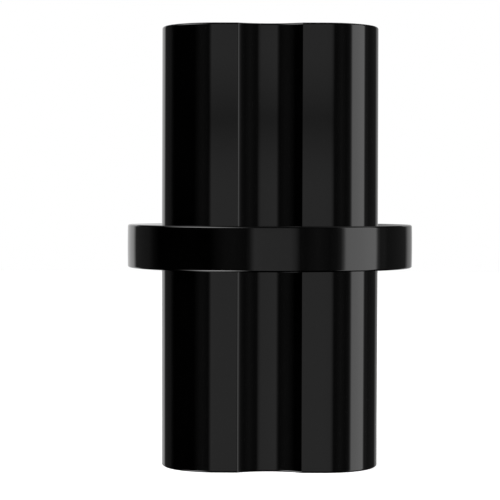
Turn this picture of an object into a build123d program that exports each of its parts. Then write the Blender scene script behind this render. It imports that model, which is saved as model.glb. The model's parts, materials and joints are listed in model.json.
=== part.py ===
"""Internal coupling that joins two lengths of furniture pipe end to end.

One moulded piece. Two fluted spigots slide into the pipes' bores, and a round collar at mid
length, as wide as the pipes outside, stops them and fills the seam. The fitting stands on its
lower end: the origin is the middle of that end, +Z runs up its axis, and one flute faces -Y.
Lengths are in millimetres and angles in degrees.
"""
from build123d import *
from math import radians, sqrt, tan
import os

# Collar: widest at the mould's parting line, which runs round it at mid height
collar_diameter = 60.0
collar_thickness = 9.0
collar_draft_angle = 0.7
collar_chamfer = 0.3

# Spigots: a square with rounded corners, so that four lobes bear on the pipe's bore
spigot_length = 40.5
spigot_width = 44.4
lobe_radius = 11.5
spigot_chamfer = 0.2

# Flutes: one shallow channel along the middle of each flat side, with rounded lips
flute_count = 4
flute_width = 12.9
flute_radius = 12.0
flute_lip_radius = 0.3

# Hollow: it follows the outer form at an even wall, and runs right through
wall = 3.5
hollow_corner_radius = 1.0
mouth_chamfer = 0.4

# Mould draft: the spigots narrow and the hollow widens towards both ends
draft_angle = 0.08

collar_top = collar_thickness / 2
half_length = collar_top + spigot_length


def fluted_section(inset):
    """The spigot's section where it meets the collar, moved inwards by inset all round."""
    side = spigot_width - 2 * inset
    flute_centre = spigot_width / 2 + sqrt(flute_radius**2 - (flute_width / 2) ** 2)
    with BuildSketch() as section:
        RectangleRounded(side, side, lobe_radius - inset)
        with PolarLocations(flute_centre, flute_count):
            Circle(flute_radius + inset, mode=Mode.SUBTRACT)
    return section.sketch


def drafted_prism(section, start, length, angle, lip_radius):
    """The section drawn up from the height start, drafted from there, with rounded lips."""
    prism = extrude(Pos(0, 0, start) * section, amount=length)
    sides = prism.faces().sort_by(Axis.Z)[1:-1]
    prism = draft(sides, Plane.XY.offset(start), angle)
    upright_edges = prism.edges().group_by(Axis.Z)[1]
    lips = upright_edges.sort_by_distance(prism.center())[: 2 * flute_count]
    return fillet(lips, lip_radius)


def upper_collar():
    """The collar's upper half, which narrows from the parting line to its rim."""
    top_radius = collar_diameter / 2 - collar_top * tan(radians(collar_draft_angle))
    standing = (Align.CENTER, Align.CENTER, Align.MIN)
    disc = Cone(collar_diameter / 2, top_radius, collar_top, align=standing)
    top_face = disc.faces().sort_by(Axis.Z)[-1]
    return chamfer(top_face.edges(), collar_chamfer)


def upper_spigot():
    section = fluted_section(0)
    prism = drafted_prism(section, collar_top, spigot_length, draft_angle, flute_lip_radius)
    end_face = prism.faces().sort_by(Axis.Z)[-1]
    return chamfer(end_face.edges(), spigot_chamfer)


def upper_hollow():
    """The core that leaves the upper half of the hollow."""
    section = fluted_section(wall)
    return drafted_prism(section, 0, half_length, -draft_angle, hollow_corner_radius)


def upper_half():
    """The fitting above the parting line, with the mouth of its hollow eased."""
    half = upper_collar() + upper_spigot() - upper_hollow()
    end_face = half.faces().sort_by(Axis.Z)[-1]
    return chamfer(end_face.inner_wires()[0].edges(), mouth_chamfer)


def coupling():
    """The whole fitting, modelled about the parting line and then stood on its lower end."""
    half = upper_half()
    return Pos(0, 0, half_length) * (half + mirror(half, about=Plane.XY))


if __name__ == "__main__":
    os.makedirs("parts", exist_ok=True)
    export_step(coupling(), "parts/coupling.step")
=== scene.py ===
"""Looks of the internal coupling: a glossy black moulding on a white floor, in a dark studio.

Lengths are in metres and angles in radians unless a name says degrees. The fitting stands on its
lower end at the origin with +Z up its axis, and the camera looks along +Y, straight at one flute.
"""
import json
from math import acos, cos, pi, radians, sin, sqrt, tan

import bpy
import numpy as np
from mathutils import Euler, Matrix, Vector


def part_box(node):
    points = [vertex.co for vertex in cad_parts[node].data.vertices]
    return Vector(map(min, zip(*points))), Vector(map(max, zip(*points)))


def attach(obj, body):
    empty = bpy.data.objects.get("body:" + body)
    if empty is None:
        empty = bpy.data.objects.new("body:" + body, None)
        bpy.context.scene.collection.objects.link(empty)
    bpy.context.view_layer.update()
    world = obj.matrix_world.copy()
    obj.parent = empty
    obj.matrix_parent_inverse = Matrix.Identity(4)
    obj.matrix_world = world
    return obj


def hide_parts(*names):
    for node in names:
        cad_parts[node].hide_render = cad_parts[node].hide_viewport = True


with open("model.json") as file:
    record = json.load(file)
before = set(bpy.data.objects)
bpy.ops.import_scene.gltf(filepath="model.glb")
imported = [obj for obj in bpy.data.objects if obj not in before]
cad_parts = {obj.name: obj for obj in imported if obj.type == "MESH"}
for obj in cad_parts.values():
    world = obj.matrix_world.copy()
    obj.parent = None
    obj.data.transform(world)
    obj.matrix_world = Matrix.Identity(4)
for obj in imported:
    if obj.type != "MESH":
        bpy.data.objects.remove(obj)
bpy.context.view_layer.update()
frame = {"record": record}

MM = 0.001
UP = pi / 2

# The fitting's main sizes, from the frame
low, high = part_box("coupling")
height = high.z
collar_radius = high.x
mounts = {mount["name"]: mount for mount in frame["record"]["mounts"]}
spigot_length = mounts["upper_spigot"]["dims"]["length_mm"] * MM
collar_bottom = spigot_length
collar_top = height - spigot_length

# The section of a spigot where it meets the collar
half_width = 22.2 * MM
lobe_radius = 11.5 * MM
flute_half_width = 6.45 * MM
flute_radius = 12.0 * MM
lip_radius = 0.3 * MM

# The hollow
wall = 3.5 * MM
hollow_corner_radius = 1.0 * MM
mouth_chamfer = 0.4 * MM

# Softened edges, the mould draft, and the collar's slight crown
end_radius = 0.4 * MM
rim_radius = 0.4 * MM
draft_angle = radians(0.08)
crown_radius = 190 * MM


def arc(centre, radius, start, end, steps):
    """Points and outward normals along an arc, without its last point. Clockwise is hollow."""
    angles = start + (end - start) * np.arange(steps) / steps
    facing = np.c_[np.cos(angles), np.sin(angles)]
    return centre + radius * facing, facing if end > start else -facing


def straight(start, end, steps):
    """Points and outward normals along a straight run, without its last point."""
    start, end = np.array(start), np.array(end)
    share = np.arange(steps)[:, None] / steps
    run = (end - start) / np.linalg.norm(end - start)
    return start + (end - start) * share, np.tile([run[1], -run[0]], (steps, 1))


def quarter_turn(count):
    """The matrix that turns row vectors by that many quarters, anticlockwise."""
    return np.linalg.matrix_power(np.array([[0, 1], [-1, 0]]), count)


def section(corner, inset=0.0):
    """Points and outward normals round the fluted section, moved inwards by inset.

    corner is the radius of the corners beside the flutes. The walk is anticlockwise, and every
    section has as many points, so that two of them can be joined point to point.
    """
    half_flute_steps, lip_steps, flat_steps, lobe_steps = 20, 8, 8, 56
    face = half_width - inset
    flute_centre = half_width + sqrt(flute_radius**2 - flute_half_width**2)
    hollowed = flute_radius + inset
    corner_y = face - corner
    opening = acos((flute_centre - corner_y) / (hollowed + corner))
    corner_x = (hollowed + corner) * sin(opening)
    lobe = half_width - lobe_radius
    pieces = [
        arc((0, -flute_centre), hollowed, UP, UP - opening, half_flute_steps),
        arc((corner_x, -corner_y), corner, -UP - opening, -UP, lip_steps),
        straight((corner_x, -face), (lobe, -face), flat_steps),
        arc((lobe, -lobe), lobe_radius - inset, -UP, 0, lobe_steps),
        straight((face, -lobe), (face, -corner_x), flat_steps),
        arc((corner_y, -corner_x), corner, 0, opening, lip_steps),
        arc((flute_centre, 0), hollowed, pi + opening, pi, half_flute_steps),
    ]
    points = np.vstack([piece[0] for piece in pieces])
    facing = np.vstack([piece[1] for piece in pieces])
    turns = [quarter_turn(count) for count in range(4)]
    return np.vstack([points @ turn for turn in turns]), np.vstack([facing @ turn for turn in turns])


def circle(radius, like):
    """A circle's points and normals, at the bearings of the points of a section."""
    facing = like / np.linalg.norm(like, axis=1)[:, None]
    return radius * facing, facing


class Skin:
    """A closed skin of rings round the axis, joined in order, with its true normals."""

    def __init__(self):
        self.rings, self.normals = [], []

    def add(self, ring, z, before, after=None):
        """A ring at height z. before and after are the slopes of the skin on its two sides: the
        angle above the horizon at which it faces, turned up from the ring's own outward side."""
        points, facing = ring
        self.rings.append(np.c_[points, np.full(len(points), z)])
        slopes = before, before if after is None else after
        self.normals.append([np.c_[facing * cos(s), np.full(len(facing), sin(s))] for s in slopes])

    def build(self, name):
        """The mesh object, with the last ring joined to the first."""
        count, size = len(self.rings), len(self.rings[0])
        here = np.arange(count)[:, None] * size
        above = np.roll(here, -1, axis=0)
        point = np.arange(size)[None, :]
        ahead = np.roll(point, -1, axis=1)
        quads = np.stack([here + point, here + ahead, above + ahead, above + point], axis=-1)
        mesh = bpy.data.meshes.new(name)
        mesh.from_pydata(np.vstack(self.rings), [], quads.reshape(-1, 4).tolist())
        after = np.stack([normals[1] for normals in self.normals])
        before = np.roll(np.stack([normals[0] for normals in self.normals]), -1, axis=0)
        corners = [after, np.roll(after, -1, axis=1), np.roll(before, -1, axis=1), before]
        mesh.shade_smooth()
        mesh.normals_split_custom_set(np.stack(corners, axis=2).reshape(-1, 3).tolist())
        piece = bpy.data.objects.new(name, mesh)
        bpy.context.scene.collection.objects.link(piece)
        return piece


def steps(start, end, count):
    """Evenly spaced values from start to end, both included."""
    return [start + (end - start) * step / count for step in range(count + 1)]


def fitting():
    """The whole fitting in one skin, from the lower end up the outside and down the hollow."""
    end_edge_steps, rim_steps, crown_steps = 5, 10, 12
    middle = height / 2
    bearings = section(lip_radius)[0]
    skin = Skin()

    def spigot_ring(z, before, after=None, softening=0.0):
        drafted = tan(draft_angle) * max(collar_bottom - z, z - collar_top)
        skin.add(section(lip_radius - softening, softening + drafted), z, before, after)

    def end_edge(side, slopes):
        """The softened edge of an end face. side is -1 at the lower end and 1 at the upper."""
        centre = middle + side * (middle - end_radius)
        for slope in slopes:
            softening = end_radius * (1 - cos(slope))
            spigot_ring(centre + end_radius * sin(slope), slope, softening=softening)

    def rim(side, slopes):
        """A softened rim of the collar, on its lower side, -1, or its upper side, 1."""
        centre = middle + side * (middle - spigot_length - rim_radius)
        for slope in slopes:
            radius = rim_reach - rim_radius * (1 - cos(slope))
            skin.add(circle(radius, bearings), centre + rim_radius * sin(slope), slope)

    crown = (middle - spigot_length - rim_radius) / crown_radius
    rim_reach = collar_radius - crown_radius * (1 - cos(crown)) + rim_radius * (1 - cos(crown))

    end_edge(-1, steps(-UP, -draft_angle, end_edge_steps))
    spigot_ring(collar_bottom, -draft_angle, -UP)
    rim(-1, steps(-UP, -crown, rim_steps))
    for slope in steps(-crown, crown, crown_steps)[1:-1]:
        radius = collar_radius - crown_radius * (1 - cos(slope))
        skin.add(circle(radius, bearings), middle + crown_radius * sin(slope), slope)
    rim(1, steps(crown, UP, rim_steps))
    spigot_ring(collar_top, UP, draft_angle)
    end_edge(1, steps(draft_angle, UP, end_edge_steps))

    chamfer_slope = 1.5 * UP
    inside = 2 * UP
    widened = tan(draft_angle) * middle
    mouth = section(hollow_corner_radius, wall - widened - mouth_chamfer)
    throat = section(hollow_corner_radius, wall - widened)
    skin.add(mouth, height, UP, chamfer_slope)
    skin.add(throat, height - mouth_chamfer, chamfer_slope, inside - draft_angle)
    skin.add(section(hollow_corner_radius, wall), middle, inside - draft_angle, inside + draft_angle)
    skin.add(throat, mouth_chamfer, inside + draft_angle, inside + UP / 2)
    skin.add(mouth, 0, inside + UP / 2, inside + UP)
    return skin.build("fitting")


def wire(tree, kind, settings=None, **inputs):
    """A node with its settings and its inputs, each a value or another node's output."""
    node = tree.nodes.new(kind)
    for name, value in (settings or {}).items():
        setattr(node, name, value)
    for name, value in inputs.items():
        socket = node.inputs[name.replace("_", " ")]
        if isinstance(value, bpy.types.NodeSocket):
            tree.links.new(value, socket)
        else:
            socket.default_value = value
    return node


def ramp(tree, factor, stops):
    """The grey of a colour ramp through (place, grey) stops."""
    node = wire(tree, "ShaderNodeValToRGB", Fac=factor)
    elements = node.color_ramp.elements
    while len(elements) < len(stops):
        elements.new(0.5)
    for element, (place, grey) in zip(elements, stops):
        element.position = place
        element.color = (grey, grey, grey, 1)
    return node.outputs["Color"]


def new_tree(name):
    """A new material and its emptied node tree."""
    material = bpy.data.materials.new(name)
    material.use_nodes = True
    material.node_tree.nodes.clear()
    return material, material.node_tree


def black_pvc():
    """Polished black PVC: a faint mottle, polish that varies, and the mould's fine ripple."""
    material, tree = new_tree("black_pvc")
    place = wire(tree, "ShaderNodeTexCoord").outputs["Object"]
    mottle = wire(tree, "ShaderNodeTexNoise", Vector=place, Scale=90.0, Detail=5.0)
    colour = ramp(tree, mottle.outputs["Fac"], [(0.3, 0.0002), (0.7, 0.0006)])
    haze = wire(tree, "ShaderNodeTexNoise", Vector=place, Scale=220.0, Detail=6.0)
    roughness = wire(
        tree, "ShaderNodeMapRange", Value=haze.outputs["Fac"], To_Min=0.02, To_Max=0.06
    )
    ripple = wire(tree, "ShaderNodeTexNoise", Vector=place, Scale=160.0, Detail=2.0)
    bump = wire(tree, "ShaderNodeBump", Height=ripple.outputs["Fac"], Distance=0.4e-6)
    shader = wire(
        tree, "ShaderNodeBsdfPrincipled", Base_Color=colour, Roughness=roughness.outputs["Result"],
        IOR=1.5, Normal=bump.outputs["Normal"],
    )
    wire(tree, "ShaderNodeOutputMaterial", Surface=shader.outputs["BSDF"])
    return material


def prop(name, points, faces, material):
    """A part of the studio, seen by the fitting's gloss and not by the camera."""
    mesh = bpy.data.meshes.new(name)
    mesh.from_pydata(points, [], faces)
    mesh.materials.append(material)
    part = bpy.data.objects.new(name, mesh)
    part.visible_camera = False
    bpy.context.scene.collection.objects.link(part)
    return part


def glow(name, strength=1.0):
    """A material that only glows, its node tree and its emission node."""
    material, tree = new_tree(name)
    light = wire(tree, "ShaderNodeEmission", Strength=strength)
    wire(tree, "ShaderNodeOutputMaterial", Surface=light.outputs["Emission"])
    return material, tree, light


def card(name, columns, place, across, up):
    """A glowing card. place gives its points from their shares of its width and of its height.

    across and up are stops of brightness along those two shares, and the two are multiplied.
    """
    rows = 2
    shares = np.meshgrid(np.linspace(0, 1, columns), np.linspace(0, 1, rows))
    sideways, upright = (share.ravel() for share in shares)
    first = np.arange(columns - 1)
    faces = np.c_[first, first + 1, first + columns + 1, first + columns]
    material, tree, light = glow(name)
    board = prop(name, place(sideways, upright), faces.tolist(), material)
    layer = board.data.uv_layers.new(name="card")
    spots = np.c_[sideways, upright][faces.ravel()]
    layer.data.foreach_set("uv", spots.astype(np.float32).ravel())
    spot = wire(tree, "ShaderNodeUVMap", {"uv_map": "card"}).outputs["UV"]
    axes = wire(tree, "ShaderNodeSeparateXYZ", Vector=spot)
    tree.links.new(ramp(tree, axes.outputs["X"], across), light.inputs["Color"])
    tree.links.new(ramp(tree, axes.outputs["Y"], up), light.inputs["Strength"])


def bent_card(name, across, up):
    """A glowing card that stands upright and bends round the fitting.

    across gives its brightness at bearings from left to right, in degrees from the camera's side
    and positive to the right. up gives the share of it at heights from foot to head, in metres.
    """
    distance = 1.5
    columns = 49
    left, right = across[0][0], across[-1][0]
    foot, head = up[0][0], up[-1][0]

    def place(sideways, upright):
        bearing = np.radians(left + (right - left) * sideways)
        z = foot + (head - foot) * upright
        return np.c_[distance * np.sin(bearing), -distance * np.cos(bearing), z]

    across = [((bearing - left) / (right - left), level) for bearing, level in across]
    up = [((z - foot) / (head - foot), share) for z, share in up]
    card(name, columns, place, across, up)


def level_card(name, x, y, z, strength):
    """A glowing card, level with the floor, over those stretches of X and Y.

    It fades out towards its edges, so that the gloss shows no hard outline of it.
    """
    columns = 2
    fade = 0.3

    def place(sideways, upright):
        across = x[0] + (x[1] - x[0]) * sideways
        along = y[0] + (y[1] - y[0]) * upright
        return np.c_[across, along, np.full(len(across), z)]

    soft = [(0, 0), (fade, 1), (1 - fade, 1), (1, 0)]
    card(name, columns, place, soft, [(share, strength * level) for share, level in soft])


def studio():
    """The studio that the gloss shows: dark, with a dim front panel, a bright one on the right,
    a pale backdrop behind, cards above and below on the left, and a dim one above the back.

    The front panel has a darker seam, which the upper spigot shows. The level cards only give
    the rims and end edges their thin highlights, and let the end faces be read from above.
    """
    even = [(-0.6, 1), (0.6, 1)]
    tall = [(-1, 1), (0.9, 1)]
    seam = [(-0.6, 1.04), (0.075, 1), (0.1, 0.9), (0.14, 0.57), (0.172, 0.84), (0.203, 1), (0.6, 1)]
    bent_card("dim_left", [(-48, 0), (-42, 0.035), (-35, 0.07), (-28, 0.075), (-18.5, 0.05)], even)
    bent_card(
        "front_panel",
        [(-18.5, 0.05), (-15.8, 0.12), (-11.4, 0.49), (16, 0.455), (19.8, 0.33), (23.7, 0.07)],
        seam,
    )
    bent_card(
        "dim_right", [(23.7, 0.07), (28, 0.06), (38, 0.1), (48, 0.06), (54, 0.09), (57.5, 0.2)], even
    )
    bent_card(
        "side_panel",
        [(57.5, 0.2), (60, 0.7), (62.5, 2), (66, 2.12), (84, 2.12), (92, 1.98), (95, 0.4), (98, 0.13)],
        tall,
    )
    bent_card("dim_far_right", [(98, 0.13), (103, 0.12), (108, 0.07), (139, 0.065)], even)
    bent_card(
        "backdrop",
        [
            (139, 0.065), (147, 0.42), (160, 0.45), (167, 0.7), (172, 0.6), (176, 0.16), (180, 0.25),
            (184, 0.6), (190, 0.85), (218, 0.95), (222, 0.5), (225, 0.08),
        ],
        even,
    )
    bent_card("dim_far_left", [(-135, 0.08), (-112, 0.08), (-106, 0.035), (-98, 0)], even)
    level_card("upper_left", (-2.2, -0.3), (-1.8, 0.35), 0.9, 5.0)
    level_card("lower_left", (-1.2, -0.36), (-1.65, 0.15), -0.9, 10.0)
    level_card("upper_back", (-2.0, 2.0), (-0.6, 2.4), 1.5, 0.5)


def dark_walls():
    """Black walls behind the cards, so that the gloss sees the studio and not the white world."""
    reach = 3.2
    signs = [(x, y, z) for z in (-1, 1) for x, y in ((-1, -1), (1, -1), (1, 1), (-1, 1))]
    corners = [(reach * x, reach * y, reach * z) for x, y, z in signs]
    sides = [(side, (side + 1) % 4, (side + 1) % 4 + 4, side + 4) for side in range(4)]
    prop("walls", corners, sides + [(3, 2, 1, 0), (4, 5, 6, 7)], glow("walls", strength=0.0)[0])


def seen_directly(tree, kinds):
    """1 for rays of those kinds and 0 for the others."""
    path = wire(tree, "ShaderNodeLightPath")
    seen = path.outputs[kinds[0]]
    for kind in kinds[1:]:
        either = wire(tree, "ShaderNodeMath", {"operation": "MAXIMUM"})
        tree.links.new(seen, either.inputs[0])
        tree.links.new(path.outputs[kind], either.inputs[1])
        seen = either.outputs["Value"]
    return seen


def white_floor():
    """The floor: part glow and part paint, so it is white and keeps the fitting's shadow.

    The photograph's gloss shows no floor, so this one is not seen by gloss.
    """
    reach = 1.0
    glow_strength = 0.9
    paint_grey = 0.9
    material, tree = new_tree("floor")
    own_light = wire(tree, "ShaderNodeMath", {"operation": "MULTIPLY"})
    tree.links.new(seen_directly(tree, ["Is Camera Ray"]), own_light.inputs[0])
    own_light.inputs[1].default_value = glow_strength
    white = wire(tree, "ShaderNodeEmission", Strength=own_light.outputs["Value"])
    paint = wire(tree, "ShaderNodeBsdfDiffuse", Color=(paint_grey, paint_grey, paint_grey, 1))
    both = wire(tree, "ShaderNodeAddShader")
    tree.links.new(white.outputs["Emission"], both.inputs[0])
    tree.links.new(paint.outputs["BSDF"], both.inputs[1])
    wire(tree, "ShaderNodeOutputMaterial", Surface=both.outputs["Shader"])
    corners = [(-reach, -reach, 0), (reach, -reach, 0), (reach, reach, 0), (-reach, reach, 0)]
    floor = prop("floor", corners, [(0, 1, 2, 3)], material)
    floor.visible_camera = True
    floor.visible_glossy = False


def white_world():
    """White to the camera, to gloss and through glass, and dark as a light."""
    world = bpy.data.worlds.new("studio")
    world.use_nodes = True
    tree = world.node_tree
    tree.nodes.clear()
    seen = seen_directly(tree, ["Is Camera Ray", "Is Glossy Ray", "Is Transmission Ray"])
    sky = wire(tree, "ShaderNodeBackground", Color=(1, 1, 1, 1), Strength=seen)
    wire(tree, "ShaderNodeOutputWorld", Surface=sky.outputs["Background"])
    bpy.context.scene.world = world


def camera():
    """The photograph's camera: a long lens a little above mid height."""
    distance, eye_height = 389.4 * MM, 54.6 * MM
    pitch_down, yaw, roll = 0.027, 0.0108, -0.0027
    lens = bpy.data.cameras.new("camera")
    lens.lens = 132.57
    lens.clip_start, lens.clip_end = 0.01, 20
    eye = bpy.data.objects.new("camera", lens)
    eye.location = (0, -distance, eye_height)
    eye.rotation_euler = Euler((UP - pitch_down, roll, yaw), "XYZ")
    bpy.context.scene.collection.objects.link(eye)
    bpy.context.scene.camera = eye


piece = fitting()
piece.data.materials.append(black_pvc())
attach(piece, "root")
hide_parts("coupling")
studio()
dark_walls()
white_floor()
white_world()
camera()
bpy.context.scene.view_settings.view_transform = "Standard"
